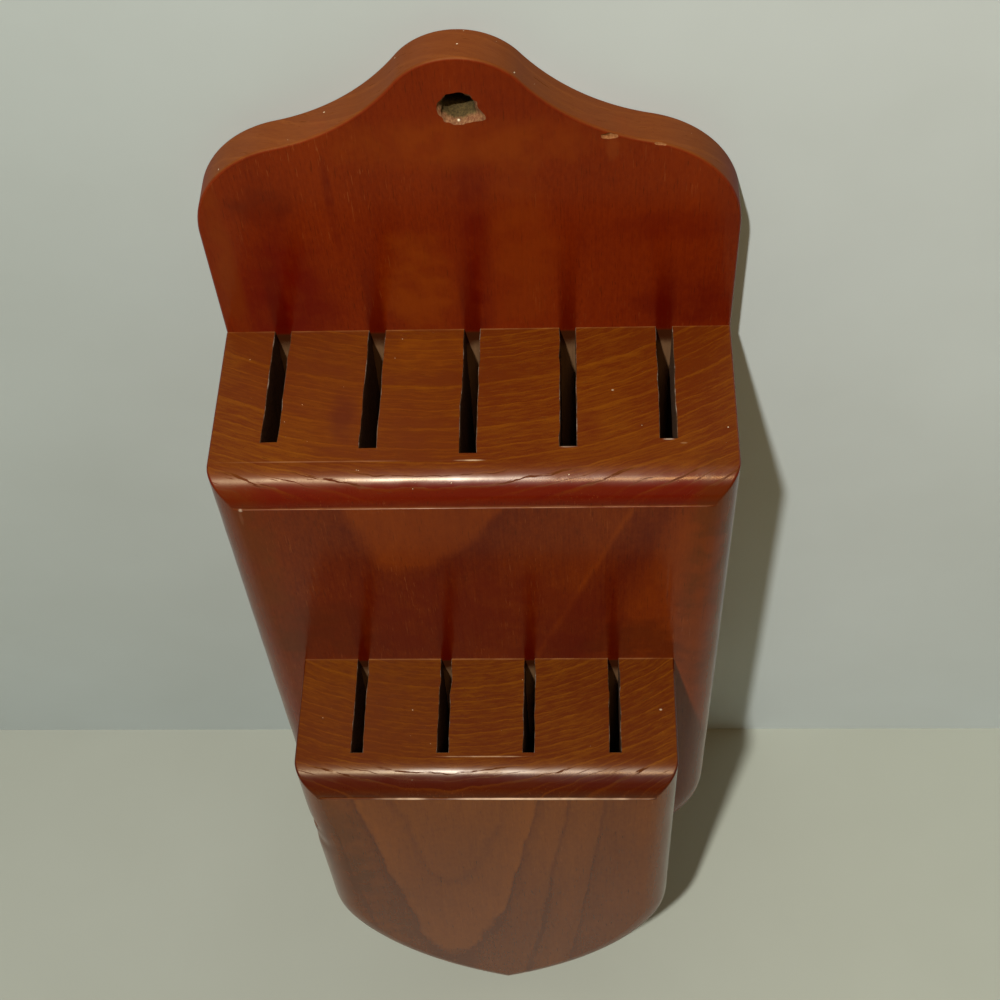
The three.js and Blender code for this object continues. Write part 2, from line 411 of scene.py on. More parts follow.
def slot_strips_shade_and_reflections(place, ragged, slots, level, reach, front):
    """What the slots of the block in front show on the face that they end at: strips that got no stain
    deep inside, painted shade in each slot's mouth, and a painted reflection of the slot in the lacquer
    up the face above it. The slots are given by their sizes and the block's top, half the width that
    they take up and the face."""
    shift, pitch, width = [slots[size] / mm for size in ("shift", "pitch", "width")]
    level, reach, front = level / mm, reach / mm, front / mm
    turn = (place.part(0) - shift) / pitch
    offset = turn.math("ABSOLUTE", turn.math("FRACT", turn + 50.5) - 0.5) * pitch
    side = turn.math("ABSOLUTE", place.part(0))
    on_face = (1 - side.rise(reach, reach + 1)) * (1 - place.part(1).rise(front + 1, front + 2))
    in_slot = (1 - offset.rise(width / 2, width / 2 + 0.3)) * on_face
    strip = in_slot * (1 - (place.part(2) + ragged * 10).rise(level - 10, level - 4))
    # Painted shade just inside each slot's mouth.
    slot_shade = in_slot * (1 - place.part(2).rise(level - 2, level - 0.5))
    # A painted reflection of each slot in the lacquer of the face above it.
    slot_reflection = (1 - (offset + ragged * 3).rise(0.3 * width, 0.8 * width)) * on_face
    slot_reflection = slot_reflection * (1 - place.part(2).rise(level, level + slot_reflection_height))
    slot_reflection = slot_reflection * place.part(2).rise(level - 3, level)
    return strip, slot_shade, slot_reflection


def lacquered_wood(
    name, heart, lean, figure, ring, long_grain, end_grain, seed, rim=None, marks_and_painted_light=(), slots=None
):
    """Stained wood under amber lacquer, glossy on long grain and dull where it sank into end grain. All
    lengths are in millimetres. The rings run round a heart line, given by its X and Y at the top of the
    upper block and by its lean per millimetre of height, and lie a ring's width apart. The figure lists
    how dark the long grain is at some ring radii. Each grain has a light and a dark colour. A rim is the
    colour of a block's rounded edges and the level above which they have it; the lacquer also built up
    there. Marks, among them painted highlights and painted shade, are given by place, radii, colour and
    strength, and slots as in slot_strips_shade_and_reflections."""
    material, shader, place = new_material(name, **lacquer)
    normal = place.node("ShaderNodeTexCoord", {}, {}, "Normal").part(2)
    steepness = normal.math("ABSOLUTE", normal)
    ends = steepness.rise(0.3, 0.7)
    height = place.part(2) - upper_top / mm
    radius, wavy, around, line = growth_rings(place, height, heart, lean, ring, seed)
    fibre = place.stretched(1, 1, 0.03).clouds(1.5, 4, seed + 1, 0.6)
    pores = place.stretched(1, 1, 0.06).clouds(3.4, 1, seed + 2).rise(0.64, 0.72)
    blotches = place.stretched(1, 1, 0.5).clouds(0.035, 3, seed + 3)
    mottle = place.stretched(1, 1, 0.4).clouds(0.9, 3, seed + 8, 0.7)
    ragged = place.clouds(0.12, 5, seed + 5, 0.6) - 0.5
    patchy = place.clouds(0.11, 3, seed + 6).rise(0.36, 0.58) * 0.6 + 0.4

    # The figure and fibres of the long grain, and the ring lines and streaks of the end grain.
    first, span = figure[0][0], figure[-1][0] - figure[0][0]
    tones = ((radius - first) / span).curve(*[((r - first) / span, tone) for r, tone in figure])
    face = tones + (fibre - 0.5) * 0.6 + (mottle - 0.5) * 0.9 + (0.5 - blotches) * 0.9
    strands = place.node(
        "ShaderNodeCombineXYZ", {}, {0: wavy, 1: around * 16, 2: height * 0.02}
    ).clouds(1.3, 4, seed + 4, 0.65)
    dashes = place.node(
        "ShaderNodeCombineXYZ", {}, {0: wavy * 2.4, 1: around * 30, 2: height * 0.03}
    ).clouds(1, 2, seed + 9, 0.6)
    ending = line * 0.55 + (strands - 0.5) * 1.7 + (dashes - 0.5) * 1.2 + (blotches - 0.5) * 1.1 + 0.1
    colour = ends.between(face.between(*long_grain), ending.between(*end_grain))

    # The rounded edges, with open pores along their rings, then dust, filled pores and single marks,
    # among them painted highlights and painted shade.
    pits = dashes.rise(0.6, 0.68) * strands.rise(0.45, 0.6) * steepness.rise(0.2, 0.6)
    if rim:
        rim_colour, rim_level = rim
        turned = normal.rise(0.01, 0.1) * (1 - normal.rise(0.8, 0.97))
        turned = turned * place.part(2).rise(rim_level - 2, rim_level)
        colour = (turned * 0.85 * (1 - line * 0.35)).between(colour, rim_colour)
        rounded = normal.rise(0.62, 0.75) * (1 - normal.rise(0.93, 0.98))
        broken = line.rise(0.35, 0.6) * dashes.rise(0.42, 0.5) * rounded
        pits = pits.math("MAXIMUM", pits, broken)
    hollows = pits.math("MAXIMUM", pits * 0.5, pores * 0.4)
    colour = hollows.between(colour, pore_colour)
    dust = place.clouds(1.1, 0, seed + 12).rise(0.865, 0.88) * ends
    colour = dust.between(colour, dust_colour)
    filled = place.stretched(1, 1, 0.07).clouds(2.8, 1, seed + 10).rise(0.66, 0.72)
    filled = filled * blotches.rise(0.45, 0.6) * (1 - ends)
    colour = (filled * 0.35).between(colour, filler_colour)
    # Single marks; some of them are painted highlights and painted shade.
    for centre, radii, tint, strength in marks_and_painted_light:
        mark = spot(place, centre, radii, ragged * 1.6)
        colour = (mark * patchy * strength).between(colour, tint)

    # How dull the lacquer is, and where it lies thicker.
    gloss = fibre * 0.08 + 0.15 + steepness.rise(0.01, 0.2) * 0.12 + steepness.rise(0.85, 0.97) * 0.12
    gloss = gloss + pits * 0.45
    if rim:
        polish = patchy * 0.1 - place.part(0).rise(-60, 10) * 0.14 - 0.06
        gloss = gloss + turned * polish
        built_up = rounded * (1 - pits) * place.part(0).rise(-42, -2) * patchy * 0.55
        feed(shader, Coat_Weight=built_up)
    else:
        gloss = gloss + steepness.rise(0.05, 0.3) * (1 - steepness.rise(0.8, 0.97)) * 0.3
    # Bare strips deep in the slots, painted shade in their mouths and painted reflections of the slots
    # in the lacquer above.
    if slots:
        strip, slot_shade, slot_reflection = slot_strips_shade_and_reflections(place, ragged, *slots)
        colour = (slot_reflection * 0.7).between(colour, slot_reflection_colour)
        colour = slot_shade.between(colour, slot_shade_colour)
        colour = strip.between(colour, fibre.between(*bare_colours))
        gloss = gloss + strip * 0.5
    relief = place.stretched(1, 0.1, 0.05).clouds(0.9, 0, seed + 7) * (1 - ends) - hollows * 0.5
    feed(shader, Base_Color=colour, Roughness=gloss, Normal=relief.bump(1, 0.03 * mm))
    return material


def raw_wood(name, dark, light, seed, tinge=None, painted_glint=None):
    """Unfinished wood, rough from the tool that cut it. A tinge is another colour that comes in along an
    axis, given by the axis, the two places in millimetres, how ragged it is and its colour. A painted
    glint is a highlight painted into the colour, given by its place, size and colour."""
    material, shader, place = new_material(name, Roughness=0.85, Specular_IOR_Level=0.2)
    grain = place.stretched(1, 1, 0.4).clouds(1.8, 4, seed, 0.65)
    streaks = grain.rise(0.3, 0.7)
    colour = streaks.between(dark, light)
    if tinge:
        axis, start, end, ragged, tint = tinge
        along = place.part(axis) + (place.clouds(0.25, 4, seed + 1, 0.6) - 0.5) * ragged
        tinted = streaks.between([c * 0.5 for c in tint], [c * 1.5 for c in tint])
        colour = along.rise(start, end).between(colour, tinted)
    # A highlight painted into the colour as a small bright spot.
    if painted_glint:
        centre, size, bright = painted_glint
        colour = spot(place, centre, (size, size, size), (grain - 0.5) * 1.2).between(colour, bright)
    feed(shader, Base_Color=colour, Normal=grain.bump(0.4, 0.2 * mm))
    return material


def hole_cutter():
    """The bore with its torn rim: a ragged funnel that ends in a flake pulled out to the lower right.
    Its profile gives the depth, the share of the torn rim and how rough it is, in millimetres."""
    angles = np.linspace(0, 2 * math.pi, bore_sides, endpoint=False)
    flake = sum(
        flake_length * np.exp(-((turn % (2 * math.pi)) / flake_spread) ** 2)
        for turn in (angles - flake_angle, flake_angle - angles)
    )

    def ring(depth, share, rough):
        jitter = [
            noise.noise((3 * math.cos(a), 3 * math.sin(a), 900 * depth)) * rough for a in angles
        ]
        radii = bore_radius + share * (torn_rim_radius + flake - bore_radius) + np.array(jitter)
        return board_front + depth, circle(radii, bore_sides)

    thickness = -board_front
    profile = [(-1, 1.05, 0.7), (0, 1, 0.7), (0.5, 0.7, 0.6), (1.1, 0.42, 0.6), (2, 0.16, 0.4)]
    profile += [(3.2, 0.02, 0.25), (5, 0, 0.15), (8, 0, 0.15)]
    rings = [ring(depth * mm, share, rough * mm) for depth, share, rough in profile]
    rings += [ring(thickness - 0.4 * mm, 0, 0), ring(thickness + 1 * mm, 0.4, 0)]
    return skin("hole_cutter", rings)


def broken_edge(outline, face, inwards, radius, turns):
    """The outlines round an edge that sandpaper broke."""
    return [
        (face + inwards * radius * (1 - math.cos(turn)), set_in(outline, radius * (1 - math.sin(turn))))
        for turn in turns
    ]


side_top, side_foot = [(board_width / 2, level) for level in (upper_top + shoulder_rise, side_end)]
board_outline = mirrored(np.concatenate([
    crown_half(),
    np.linspace(side_top, side_foot, side_steps)[1:-1],
    bottom_half(board_width, upper_belly_radius, 0),
]))
front_turns, back_turns = np.linspace(0, math.pi / 2, 5), np.linspace(math.pi / 2, 0, 4)
board_rings = broken_edge(board_outline, board_front, 1, board_arris, front_turns)
board_rings += broken_edge(board_outline, 0, -1, board_arris / 2, back_turns)

board_wood = lacquered_wood(
    "lacquered_board",
    heart=(22, 160),
    lean=(0.1, -0.06),
    figure=[
        (166, 0.45), (172, 0.25), (176, 0.5), (181, 0.3), (188, 0.5), (196, 0.3), (204, 0.5), (212, 0.4)
    ],
    ring=9,
    long_grain=((0.185, 0.018, 0.0005), (0.09, 0.0035, 0.0003)),
    end_grain=((0.14, 0.03, 0.003), (0.19, 0.048, 0.006)),
    seed=3,
    marks_and_painted_light=[
        ((2, -11, -50), (4, 9, 45), (0.1, 0.003, 0.0004), 0.65),
        ((-58, -11, -34), (8, 9, 6), (0.08, 0.004, 0.0004), 0.55),
        ((-56, -11, -74), (13, 9, 26), (0.11, 0.002, 0.0004), 0.75),
        ((-37.5, -11, -32), (1.2, 9, 17), (0.09, 0.002, 0.0004), 0.6),
        ((-16, -11, -68), (9, 9, 20), (0.22, 0.036, 0.001), 0.7),
        ((15, -11, -55), (9, 9, 34), (0.2, 0.028, 0.001), 0.45),
        ((0, -11, -12), (34, 9, 8), (0.21, 0.032, 0.001), 0.6),
        ((-71, -11, -62), (3, 9, 34), (0.17, 0.026, 0.001), 0.5),
        ((62, -11, -77), (17, 9, 9), (0.09, 0.002, 0.0004), 0.6),
        ((58, -11, -44), (17, 9, 6), (0.1, 0.003, 0.0004), 0.45),
        ((40, -11, -15), (1.6, 9, 4), (0.24, 0.05, 0.008), 0.25),
    ],
    slots=(upper_slots, upper_top, 70 * mm, board_front),
)
# The wood inside the hanging hole; the bright spot low in the bore is a painted highlight.
torn_wood = raw_wood(
    "torn_wood", (0.13, 0.04, 0.018), (0.3, 0.15, 0.065), 5,
    tinge=(1, -11, -9.2, 4, (0.075, 0.05, 0.017)), painted_glint=((0, -10.4, -4.6), 0.34, (0.8, 0.7, 0.5)),
)
chipped_wood = raw_wood("chipped_wood", (0.19, 0.06, 0.015), (0.32, 0.14, 0.05), 6)
board = skin("back_board_plank", board_rings)
board.data.materials.append(board_wood)
cut(board, hole_cutter(), torn_wood)
drill_for_screws(board, chipped_wood)
chips = [
    ((23.5, 3.4), (2.2, 0.7, 0.8)), ((39.2, -10.4), (2.4, 0.7, 1)), ((53.5, -13.2), (2.2, 0.6, 0.9))
]
for i, ((x, z), radii) in enumerate(chips):
    centre = (x * mm, board_front - 0.1 * mm, z * mm)
    blob = rough_blob("chip_cutter", centre, [r * mm for r in radii], seed=i)
    cut(board, blob, chipped_wood)
shade(board)
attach(board, "root")
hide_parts("back_board")

# Upper block: one thick plank with its end grain up, its front and side edges rounded with a router. The
# top edge was cut a little deeper, which left a thin ledge. The knife slots are saw cuts in its back.
edge_radius = 9.5 * mm
ledge = 0.4 * mm
lip_radius = 0.25 * mm
corner_softness = 0.7 * mm
sway_size = 0.12 * mm
sway_reach = 14 * mm
slot_arris = 0.24 * mm
saw_wander = 0.45 * mm
saw_waves_deep, saw_waves_high = 160, 60
upper_slot_walls = [17.3, 14.9, 12.8, 14.9, 17.3]
lower_low, lower_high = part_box("lower_block")
lower_slots = {"shift": 0, "pitch": 27.5 * mm, "width": 3.5 * mm}
dowel_nodes = [f"dowel_{i}" for i in (1, 2, 3, 4)]
dowels_at = [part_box(node) for node in dowel_nodes]
dowel_room = 0.1 * mm


def round_inset(depth, radius):
    """How far a quarter round holds the surface back at this depth."""
    left = radius - max(depth, 0)
    return radius - math.sqrt(radius**2 - left**2) if left > 0 else 0


def block_ring(width, belly_radius, top, front, depth):
    """The block's outline this deep behind its front face."""
    side = round_inset(depth, edge_radius)
    right = width / 2 - side
    level = top - round_inset(depth - ledge, edge_radius) - round_inset(depth, lip_radius)
    soft = arc(
        (right - corner_softness, level - corner_softness), corner_softness, math.pi / 2, 0, 4
    )
    half = np.concatenate([
        np.linspace((0, level), soft[0], 40)[:-1],
        soft,
        np.linspace(soft[-1], (right, side_end), 90)[1:-1],
        bottom_half(width, belly_radius, side),
    ])
    return front + depth, mirrored(half)


def rounded_block(name, width, belly_radius, top, back, front):
    """A plank with its front edges rounded, in rings that lie close together where it curves."""
    round_end = edge_radius + ledge
    depths = [lip_radius * (1 - math.cos(turn)) for turn in np.linspace(0, math.pi / 2, 6)]
    depths += [ledge + edge_radius * (1 - math.cos(turn)) for turn in np.linspace(0, math.pi / 2, 19)]
    depths += [round_end + 2 * mm]
    depths += list(np.linspace(round_end + 8 * mm, back - front, 5))
    return skin(name, [block_ring(width, belly_radius, top, front, d) for d in depths])


def sway(piece, front, seed):
    """Moves the points of the rounded edges a little, as hand sanding does."""
    middle, half = 4.5 * mm, 4 * mm
    for vertex in piece.data.vertices:
        depth = vertex.co.y - front
        share = 1 - ((depth - middle) / half) ** 2
        if depth > 0 and share > 0:
            place = vertex.co / sway_reach
            spots = [place + Vector((seed, seed + 31 * axis, seed)) for axis in range(3)]
            vertex.co += Vector([noise.noise(spot) for spot in spots]) * sway_size * share


def saw_cut(x, width, front, back, bottom, top, seed):
    """The wood that a saw cut takes, with walls that wander a little and worn edges at the top. Its
    levels lie closer together near the top, where the walls show."""
    flares = [(top + overcut, 1), (top + 0.1 * mm, 1), (top - slot_arris, 0)]
    flares += [(z, 0) for z in np.linspace(top - 2 * mm, top - 14 * mm, 7)]
    flares += [(z, 0) for z in np.linspace(top - 24 * mm, bottom - overcut, 8)]
    columns = np.linspace(front, back, 15)
    vertices, faces = [], []
    for side in (-1, 1):
        for i, y in enumerate(columns):
            for z, flare in flares:
                wave = (y * saw_waves_deep + seed, z * saw_waves_high, side * 5 + seed)
                drift = noise.noise(wave) * saw_wander
                worn = flare * slot_arris * (1 + noise.noise((y * 400, side * 9, seed)))
                ahead = worn if i == 0 else 0
                vertices.append((x + side * (width / 2 + worn) + drift, y - ahead, z))
    high, wide = len(flares), len(columns)
    wall = high * wide
    for i in range(wide - 1):
        for j in range(high - 1):
            a = i * high + j
            faces.append([a, a + 1, a + high + 1, a + high])
            faces.append([wall + v for v in faces[-1]])
    for i in range(wide - 1):
        for j in (0, high - 1):
            a = i * high + j
            faces.append([a, a + high, wall + a + high, wall + a])
    for j in range(high - 1):
        for i in (0, wide - 1):
            a = i * high + j
            faces.append([a, a + 1, wall + a + 1, wall + a])
    return new_piece("saw_cut", vertices, faces)


def saw_slots(piece, finish, slots, walls, front, back, top, seed):
    """Saws a row of slots from behind, each given by the wood that it leaves in front of it."""
    middle = (len(walls) - 1) / 2
    for i, wall in enumerate(walls):
        x = slots["shift"] + (i - middle) * slots["pitch"]
        ends = (front + wall * mm, back + overcut)
        cut(piece, saw_cut(x, slots["width"], *ends, tip_level, top, seed + i), finish)


def drill_for_dowels(piece, finish):
    """Blind holes, a little longer and wider than the dowels."""
    for low, high in dowels_at:
        radius = (high.x - low.x) / 2 + dowel_room
        profile = [(high.y + dowel_room, radius), (low.y - dowel_room, radius)]
        drill(piece, (low, high), profile, finish)


def sawn_wood(name, top):
    """The wood inside the saw cuts, rubbed pale along the edges at the top."""
    level = (top - slot_arris) / mm
    rubbed = (2, level + 0.02, level + 0.4, 2.4, (0.24, 0.18, 0.135))
    return raw_wood(name, (0.045, 0.018, 0.006), (0.13, 0.06, 0.025), 11, tinge=rubbed)


upper_wood = lacquered_wood(
    "lacquered_upper_block",
    heart=(-12.3, 110),
    lean=(0.2, -0.046),
    figure=[
        (178, 0.3), (182.2, 0.2), (182.6, 0.85), (184, 0.75), (188, 0.6), (190.2, 0.5), (190.6, 0.15),
        (191.1, 0.7), (194, 0.8), (196, 0.5), (198, 0.15), (205, 0.1),
    ],
    ring=6,
    long_grain=((0.19, 0.027, 0.0006), (0.085, 0.0045, 0.0003)),
    end_grain=((0.1, 0.015, 0.0003), (0.175, 0.047, 0.0008)),
    seed=17,
    rim=((0.1, 0.0025, 0.0003), -98),
    marks_and_painted_light=[
        ((-38, -44, -86), (4, 8, 3), (0.07, 0.006, 0.001), 0.7),
        ((-16, -20, -86), (12, 7, 3), (0.22, 0.055, 0.002), 0.4),
        ((33, -48, -86), (5, 5, 3), (0.08, 0.006, 0.001), 0.5),
        ((40.5, -35.5, -86.5), (0.4, 0.3, 2), (0.4, 0.3, 0.2), 1),
        ((27.6, -55.9, -86.5), (1.9, 0.26, 2), (0.36, 0.28, 0.2), 0.8),
        ((56.2, -53.6, -86.5), (1.4, 0.26, 2), (0.4, 0.32, 0.24), 0.8),
        ((60.4, -55, -86.5), (0.9, 0.25, 2), (0.4, 0.22, 0.1), 0.5),
        # Painted highlights: glints on the ridge where the top meets the rounded edge.
        ((-42, -60.4, -86.5), (24, 0.2, 2), (0.4, 0.2, 0.1), 0.3),
        ((0, -60.4, -86.5), (3.5, 0.22, 2), (0.7, 0.5, 0.3), 0.7),
        ((0, -11.4, -86.5), (80, 0.3, 2), (0.4, 0.18, 0.06), 0.3),
        # Painted highlights on the lip under the rounded top edge, with a bright spot and a short line
        # down at its left end.
        ((0, -70.4, -95.9), (68, 1, 0.4), (0.35, 0.15, 0.07), 0.3),
        ((-67, -70.4, -96.4), (0.5, 1, 0.5), (0.8, 0.65, 0.5), 0.8),
        ((-67.4, -70.2, -100), (0.5, 1, 3.5), (0.3, 0.14, 0.08), 0.3),
        ((0, -70, -168), (58, 9, 34), (0.095, 0.003, 0.0003), 0.6),
        ((-67, -69, -135), (7, 10, 70), (0.1, 0.02, 0.0008), 0.5),
        ((-52, -70, -166), (17, 9, 17), (0.07, 0.01, 0.0004), 0.45),
        # Painted shade on the right side, which faces away from the key lamp.
        ((70, -68, -135), (8, 12, 70), (0.07, 0.014, 0.0005), 0.6),
        ((50, -70, -172), (15, 9, 13), (0.07, 0.01, 0.0004), 0.5),
    ],
    slots=({**lower_slots, "shift": lower_slots["pitch"] / 2}, lower_high.z, 55 * mm, upper_low.y),
)
upper_sawn = sawn_wood("sawn_upper_block", upper_top)
upper = rounded_block(
    "upper_block_plank", board_width, upper_belly_radius, upper_top, board_front, upper_low.y
)
upper.data.materials.append(upper_wood)
sway(upper, upper_low.y, seed=4)
saw_slots(
    upper, upper_sawn, upper_slots, upper_slot_walls, upper_low.y, board_front, upper_top, seed=30
)
drill_for_screws(upper, upper_sawn)
drill_for_dowels(upper, upper_sawn)
shade(upper)
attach(upper, "root")
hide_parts("upper_block")

# Lower block: a second, narrower plank of the same make, glued to the upper block's front face. A knock
# has dented its rounded left edge. Its long grain is coloured browner than the rest, as painted sheen.
lower_width = lower_high.x - lower_low.x
lower_belly_radius = 113.5 * mm
lower_slot_walls = [11.9, 11.9, 11.9, 11.9]
dents = [((-60, -110.5, -221.5), 1.3, 3.2), ((-59, -112, -232), 0.7, 4.5)]


def dent(piece, centre, depth, reach):
    """Pushes the surface of the left edge in round a point; all is given in millimetres."""
    inwards = Vector((1, 0.5, 0)).normalized()
    for vertex in piece.data.vertices:
        distance = (vertex.co - Vector(centre) * mm).length / (reach * mm)
        if distance < 2.5:
            vertex.co += inwards * depth * mm * math.exp(-(distance**2))


lower_wood = lacquered_wood(
    "lacquered_lower_block",
    heart=(-10.4, 28.1),
    lean=(0.0276, -0.0192),
    figure=[
        (145, 0.4), (147.6, 0.3), (147.75, 0.6), (148, 0.35), (149.3, 0.1), (149.45, 1), (149.7, 0.75),
        (150.3, 0.5), (151.6, 0.4), (151.9, 0.9), (152.2, 0.55), (153.5, 0.35), (155.2, 0.5),
        (155.4, 0.95), (155.8, 0.7), (158, 0.6), (162, 0.5),
    ],
    ring=4.2,
    # Browner than the upper block's long grain, as painted sheen over the same wood.
    long_grain=((0.195, 0.045, 0.0007), (0.095, 0.014, 0.0004)),
    end_grain=((0.085, 0.013, 0.0003), (0.16, 0.045, 0.0008)),
    seed=29,
    rim=((0.045, 0.0008, 0.0003), -195),
    marks_and_painted_light=[
        ((56, -89.5, -183.4), (0.4, 0.3, 2), (0.4, 0.3, 0.2), 1),
        # Painted highlight: a glint on the ridge where the top meets the rounded edge.
        ((-0.5, -106, -183.4), (12, 0.2, 2), (0.6, 0.4, 0.24), 0.6),
        ((0, -70.7, -183.4), (64, 0.3, 2), (0.4, 0.18, 0.07), 0.3),
        # Painted highlights on the lip under the rounded top edge.
        ((-27, -116.3, -192.9), (7, 1, 0.3), (0.6, 0.42, 0.28), 0.8),
        ((22, -116.3, -192.9), (27, 1, 0.35), (0.7, 0.5, 0.35), 0.85),
        ((-45, -116, -305), (15, 9, 45), (0.09, 0.015, 0.0005), 0.6),
        ((50, -116, -300), (20, 9, 30), (0.12, 0.02, 0.0005), 0.4),
        ((-51, -116, -236), (9, 9, 40), (0.07, 0.013, 0.0005), 0.6),
    ],
)
lower_sawn = sawn_wood("sawn_lower_block", lower_high.z)
lower = rounded_block(
    "lower_block_plank", lower_width, lower_belly_radius, lower_high.z, upper_low.y, lower_low.y
)
lower.data.materials.append(lower_wood)
sway(lower, lower_low.y, seed=8)
for centre, depth, reach in dents:
    dent(lower, centre, depth, reach)
saw_slots(
    lower, lower_sawn, lower_slots, lower_slot_walls, lower_low.y, upper_low.y, lower_high.z, seed=60
)
drill_for_dowels(lower, lower_sawn)
shade(lower)
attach(lower, "root")
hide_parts("lower_block")

# Board screws: four plated countersunk wood screws with slotted heads. They hold the board to the upper
# block from behind, sunk just below the board's back face, each stopped at its own turn.
screw_length = screws_at[0][1].y - screws_at[0][0].y
screw_head_softness = 0.15 * mm
screw_plain_length = 9 * mm
screw_taper_length = 6 * mm
screw_thread_depth = 0.45 * mm
screw_thread_pitch = 1.8 * mm
thread_end = 0.3 * mm
thread_steps = 8
point_radius = 0.1 * mm
driver_slot_half = (5 * mm, 1.1 * mm, 0.6 * mm)


def screw_rings():
    """Head first, then the shank, and the thread that winds down to the point."""
    turns = np.linspace(0, 1, round_sides, endpoint=False)
    profile = [(0, screw_head_radius - screw_head_softness), (-screw_head_softness, screw_head_radius)]
    profile += [(-screw_head_rim, screw_head_radius), (-screw_head_depth, screw_shank_radius)]
    rings = [(y, circle(radius, round_sides)) for y, radius in profile]
    core = screw_shank_radius - screw_thread_depth
    thread_step = screw_thread_pitch / thread_steps
    for y in np.arange(-screw_plain_length, -screw_length + thread_end, -thread_step):
        taper = min(1, (screw_length + y) / screw_taper_length)
        climb = (y / screw_thread_pitch + turns) % 1
        crest = np.clip(1 - np.abs(climb - 0.5) * 4, 0, 1)
        radius = core * taper + screw_thread_depth * crest * taper
        rings.append((y, circle(radius, round_sides)))
    rings.append((-screw_length, circle(point_radius, round_sides)))
    return rings


def places_tree():
    """Sets a piece in the four corners of an upright rectangle, each one turned about Y by chance."""
    tree = bpy.data.node_groups.new("set_in_four_corners", "GeometryNodeTree")
    sockets = [
        ("Piece", "NodeSocketGeometry"), ("Middle", "NodeSocketVector"),
        ("Width", "NodeSocketFloat"), ("Height", "NodeSocketFloat"),
        ("Largest Turn", "NodeSocketFloat"), ("Seed", "NodeSocketInt"),
        ("Finish", "NodeSocketMaterial"),
    ]
    for label, kind in sockets:
        tree.interface.new_socket(label, in_out="INPUT", socket_type=kind)
    tree.interface.new_socket("Pieces", in_out="OUTPUT", socket_type="NodeSocketGeometry")
    given = {label: Wire(tree.nodes.new("NodeGroupInput").outputs[label]) for label, _ in sockets}
    start = given["Piece"]
    grid = start.node(
        "GeometryNodeMeshGrid", {},
        {"Size X": given["Width"], "Size Y": given["Height"], "Vertices X": 2, "Vertices Y": 2},
    )
    grid = start.node(
        "GeometryNodeTransform", {},
        {"Geometry": grid, "Translation": given["Middle"], "Rotation": (math.pi / 2, 0, 0)},
    )
    turn = start.node(
        "FunctionNodeRandomValue", {"data_type": "FLOAT"},
        {"Min": 0.0, "Max": given["Largest Turn"], "Seed": given["Seed"]}, 1,
    )
    turn = start.node("ShaderNodeCombineXYZ", {}, {"Y": turn})
    placed = start.node(
        "GeometryNodeInstanceOnPoints", {}, {"Points": grid, "Instance": start, "Rotation": turn}
    )
    placed = start.node("GeometryNodeRealizeInstances", {}, {"Geometry": placed})
    placed = start.node(
        "GeometryNodeSetMaterial", {}, {"Geometry": placed, "Material": given["Finish"]}
    )
    tree.links.new(placed.socket, tree.nodes.new("NodeGroupOutput").inputs[0])
    return tree


corners_tree = places_tree()


def set_in_four_corners(piece, nodes, face, largest_turn, seed, finish):
    """Repeats the piece where these CAD nodes stand; face is the Y of the piece's own origin."""
    middles = [(low + high) / 2 for low, high in map(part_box, nodes)]
    xs, zs = [m.x for m in middles], [m.z for m in middles]
    values = {
        "Middle": ((min(xs) + max(xs)) / 2, face, (min(zs) + max(zs)) / 2),
        "Width": max(xs) - min(xs),
        "Height": max(zs) - min(zs),
        "Largest Turn": largest_turn,
        "Seed": seed,
        "Finish": finish,
    }
    repeat = piece.modifiers.new("places", "NODES")
    repeat.node_group = corners_tree
    for item in corners_tree.interface.items_tree:
        if item.name in values:
            repeat[item.identifier] = values[item.name]
    settled(piece)
    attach(piece, "root")
    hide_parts(*nodes)


def worn_plating(bright, worn):
    """Plated steel, duller and darker where the plating has worn."""
    material, shader, place = new_material("screw_plating", Metallic=1)
    wear = place.clouds(0.6, 3, 41)
    scratches = place.stretched(1, 1, 0.15).clouds(4, 2, 42)
    feed(
        shader,
        Base_Color=(wear.rise(0.45, 0.65) * 0.6).between(bright, worn),
        Roughness=wear * 0.4 + scratches * 0.2,
        Normal=scratches.bump(0.2, 0.05 * mm),
    )
    return material


screws = skin("board_screws", screw_rings())
slot_bar = new_piece(
    "slot_bar",
    [np.multiply(driver_slot_half, (x, y, z)) for x in (-1, 1) for y in (-1, 1) for z in (-1, 1)],
    [[0, 1, 3, 2], [4, 5, 7, 6], [0, 1, 5, 4], [2, 3, 7, 6], [0, 2, 6, 4], [1, 3, 7, 5]],
)
steel = worn_plating((0.62, 0.55, 0.38), (0.4, 0.36, 0.3))
screws.data.materials.append(steel)
cut(screws, slot_bar, steel)
shade(screws)
set_in_four_corners(
    screws, screw_nodes, face=screws_at[0][1].y, largest_turn=math.pi, seed=7, finish=steel
)

# Dowels: four short fluted beech pins, glued blind between the two blocks. The flutes let air and spare
# glue out of the hole, and the chamfered ends help them in.
dowel_low, dowel_high = dowels_at[0]
dowel_radius = (dowel_high.x - dowel_low.x) / 2
dowel_half_length = (dowel_high.y - dowel_low.y) / 2
dowel_chamfer = 0.8 * mm
dowel_flutes = 14
flute_depth = 0.25 * mm
flute_steps = 6


def dowel_rings():
    """A round pin with chamfered ends and flutes along its whole length."""
    turns = np.linspace(0, 2 * math.pi, flute_steps * dowel_flutes, endpoint=False)
    flutes = flute_depth * np.clip(np.cos(dowel_flutes * turns), 0, 1)
    ends = [(dowel_half_length, dowel_radius - dowel_chamfer)]
    ends.append((dowel_half_length - dowel_chamfer, dowel_radius))
    profile = ends + [(-y, radius) for y, radius in reversed(ends)]
    return [(y, circle(radius - flutes, len(turns))) for y, radius in profile]


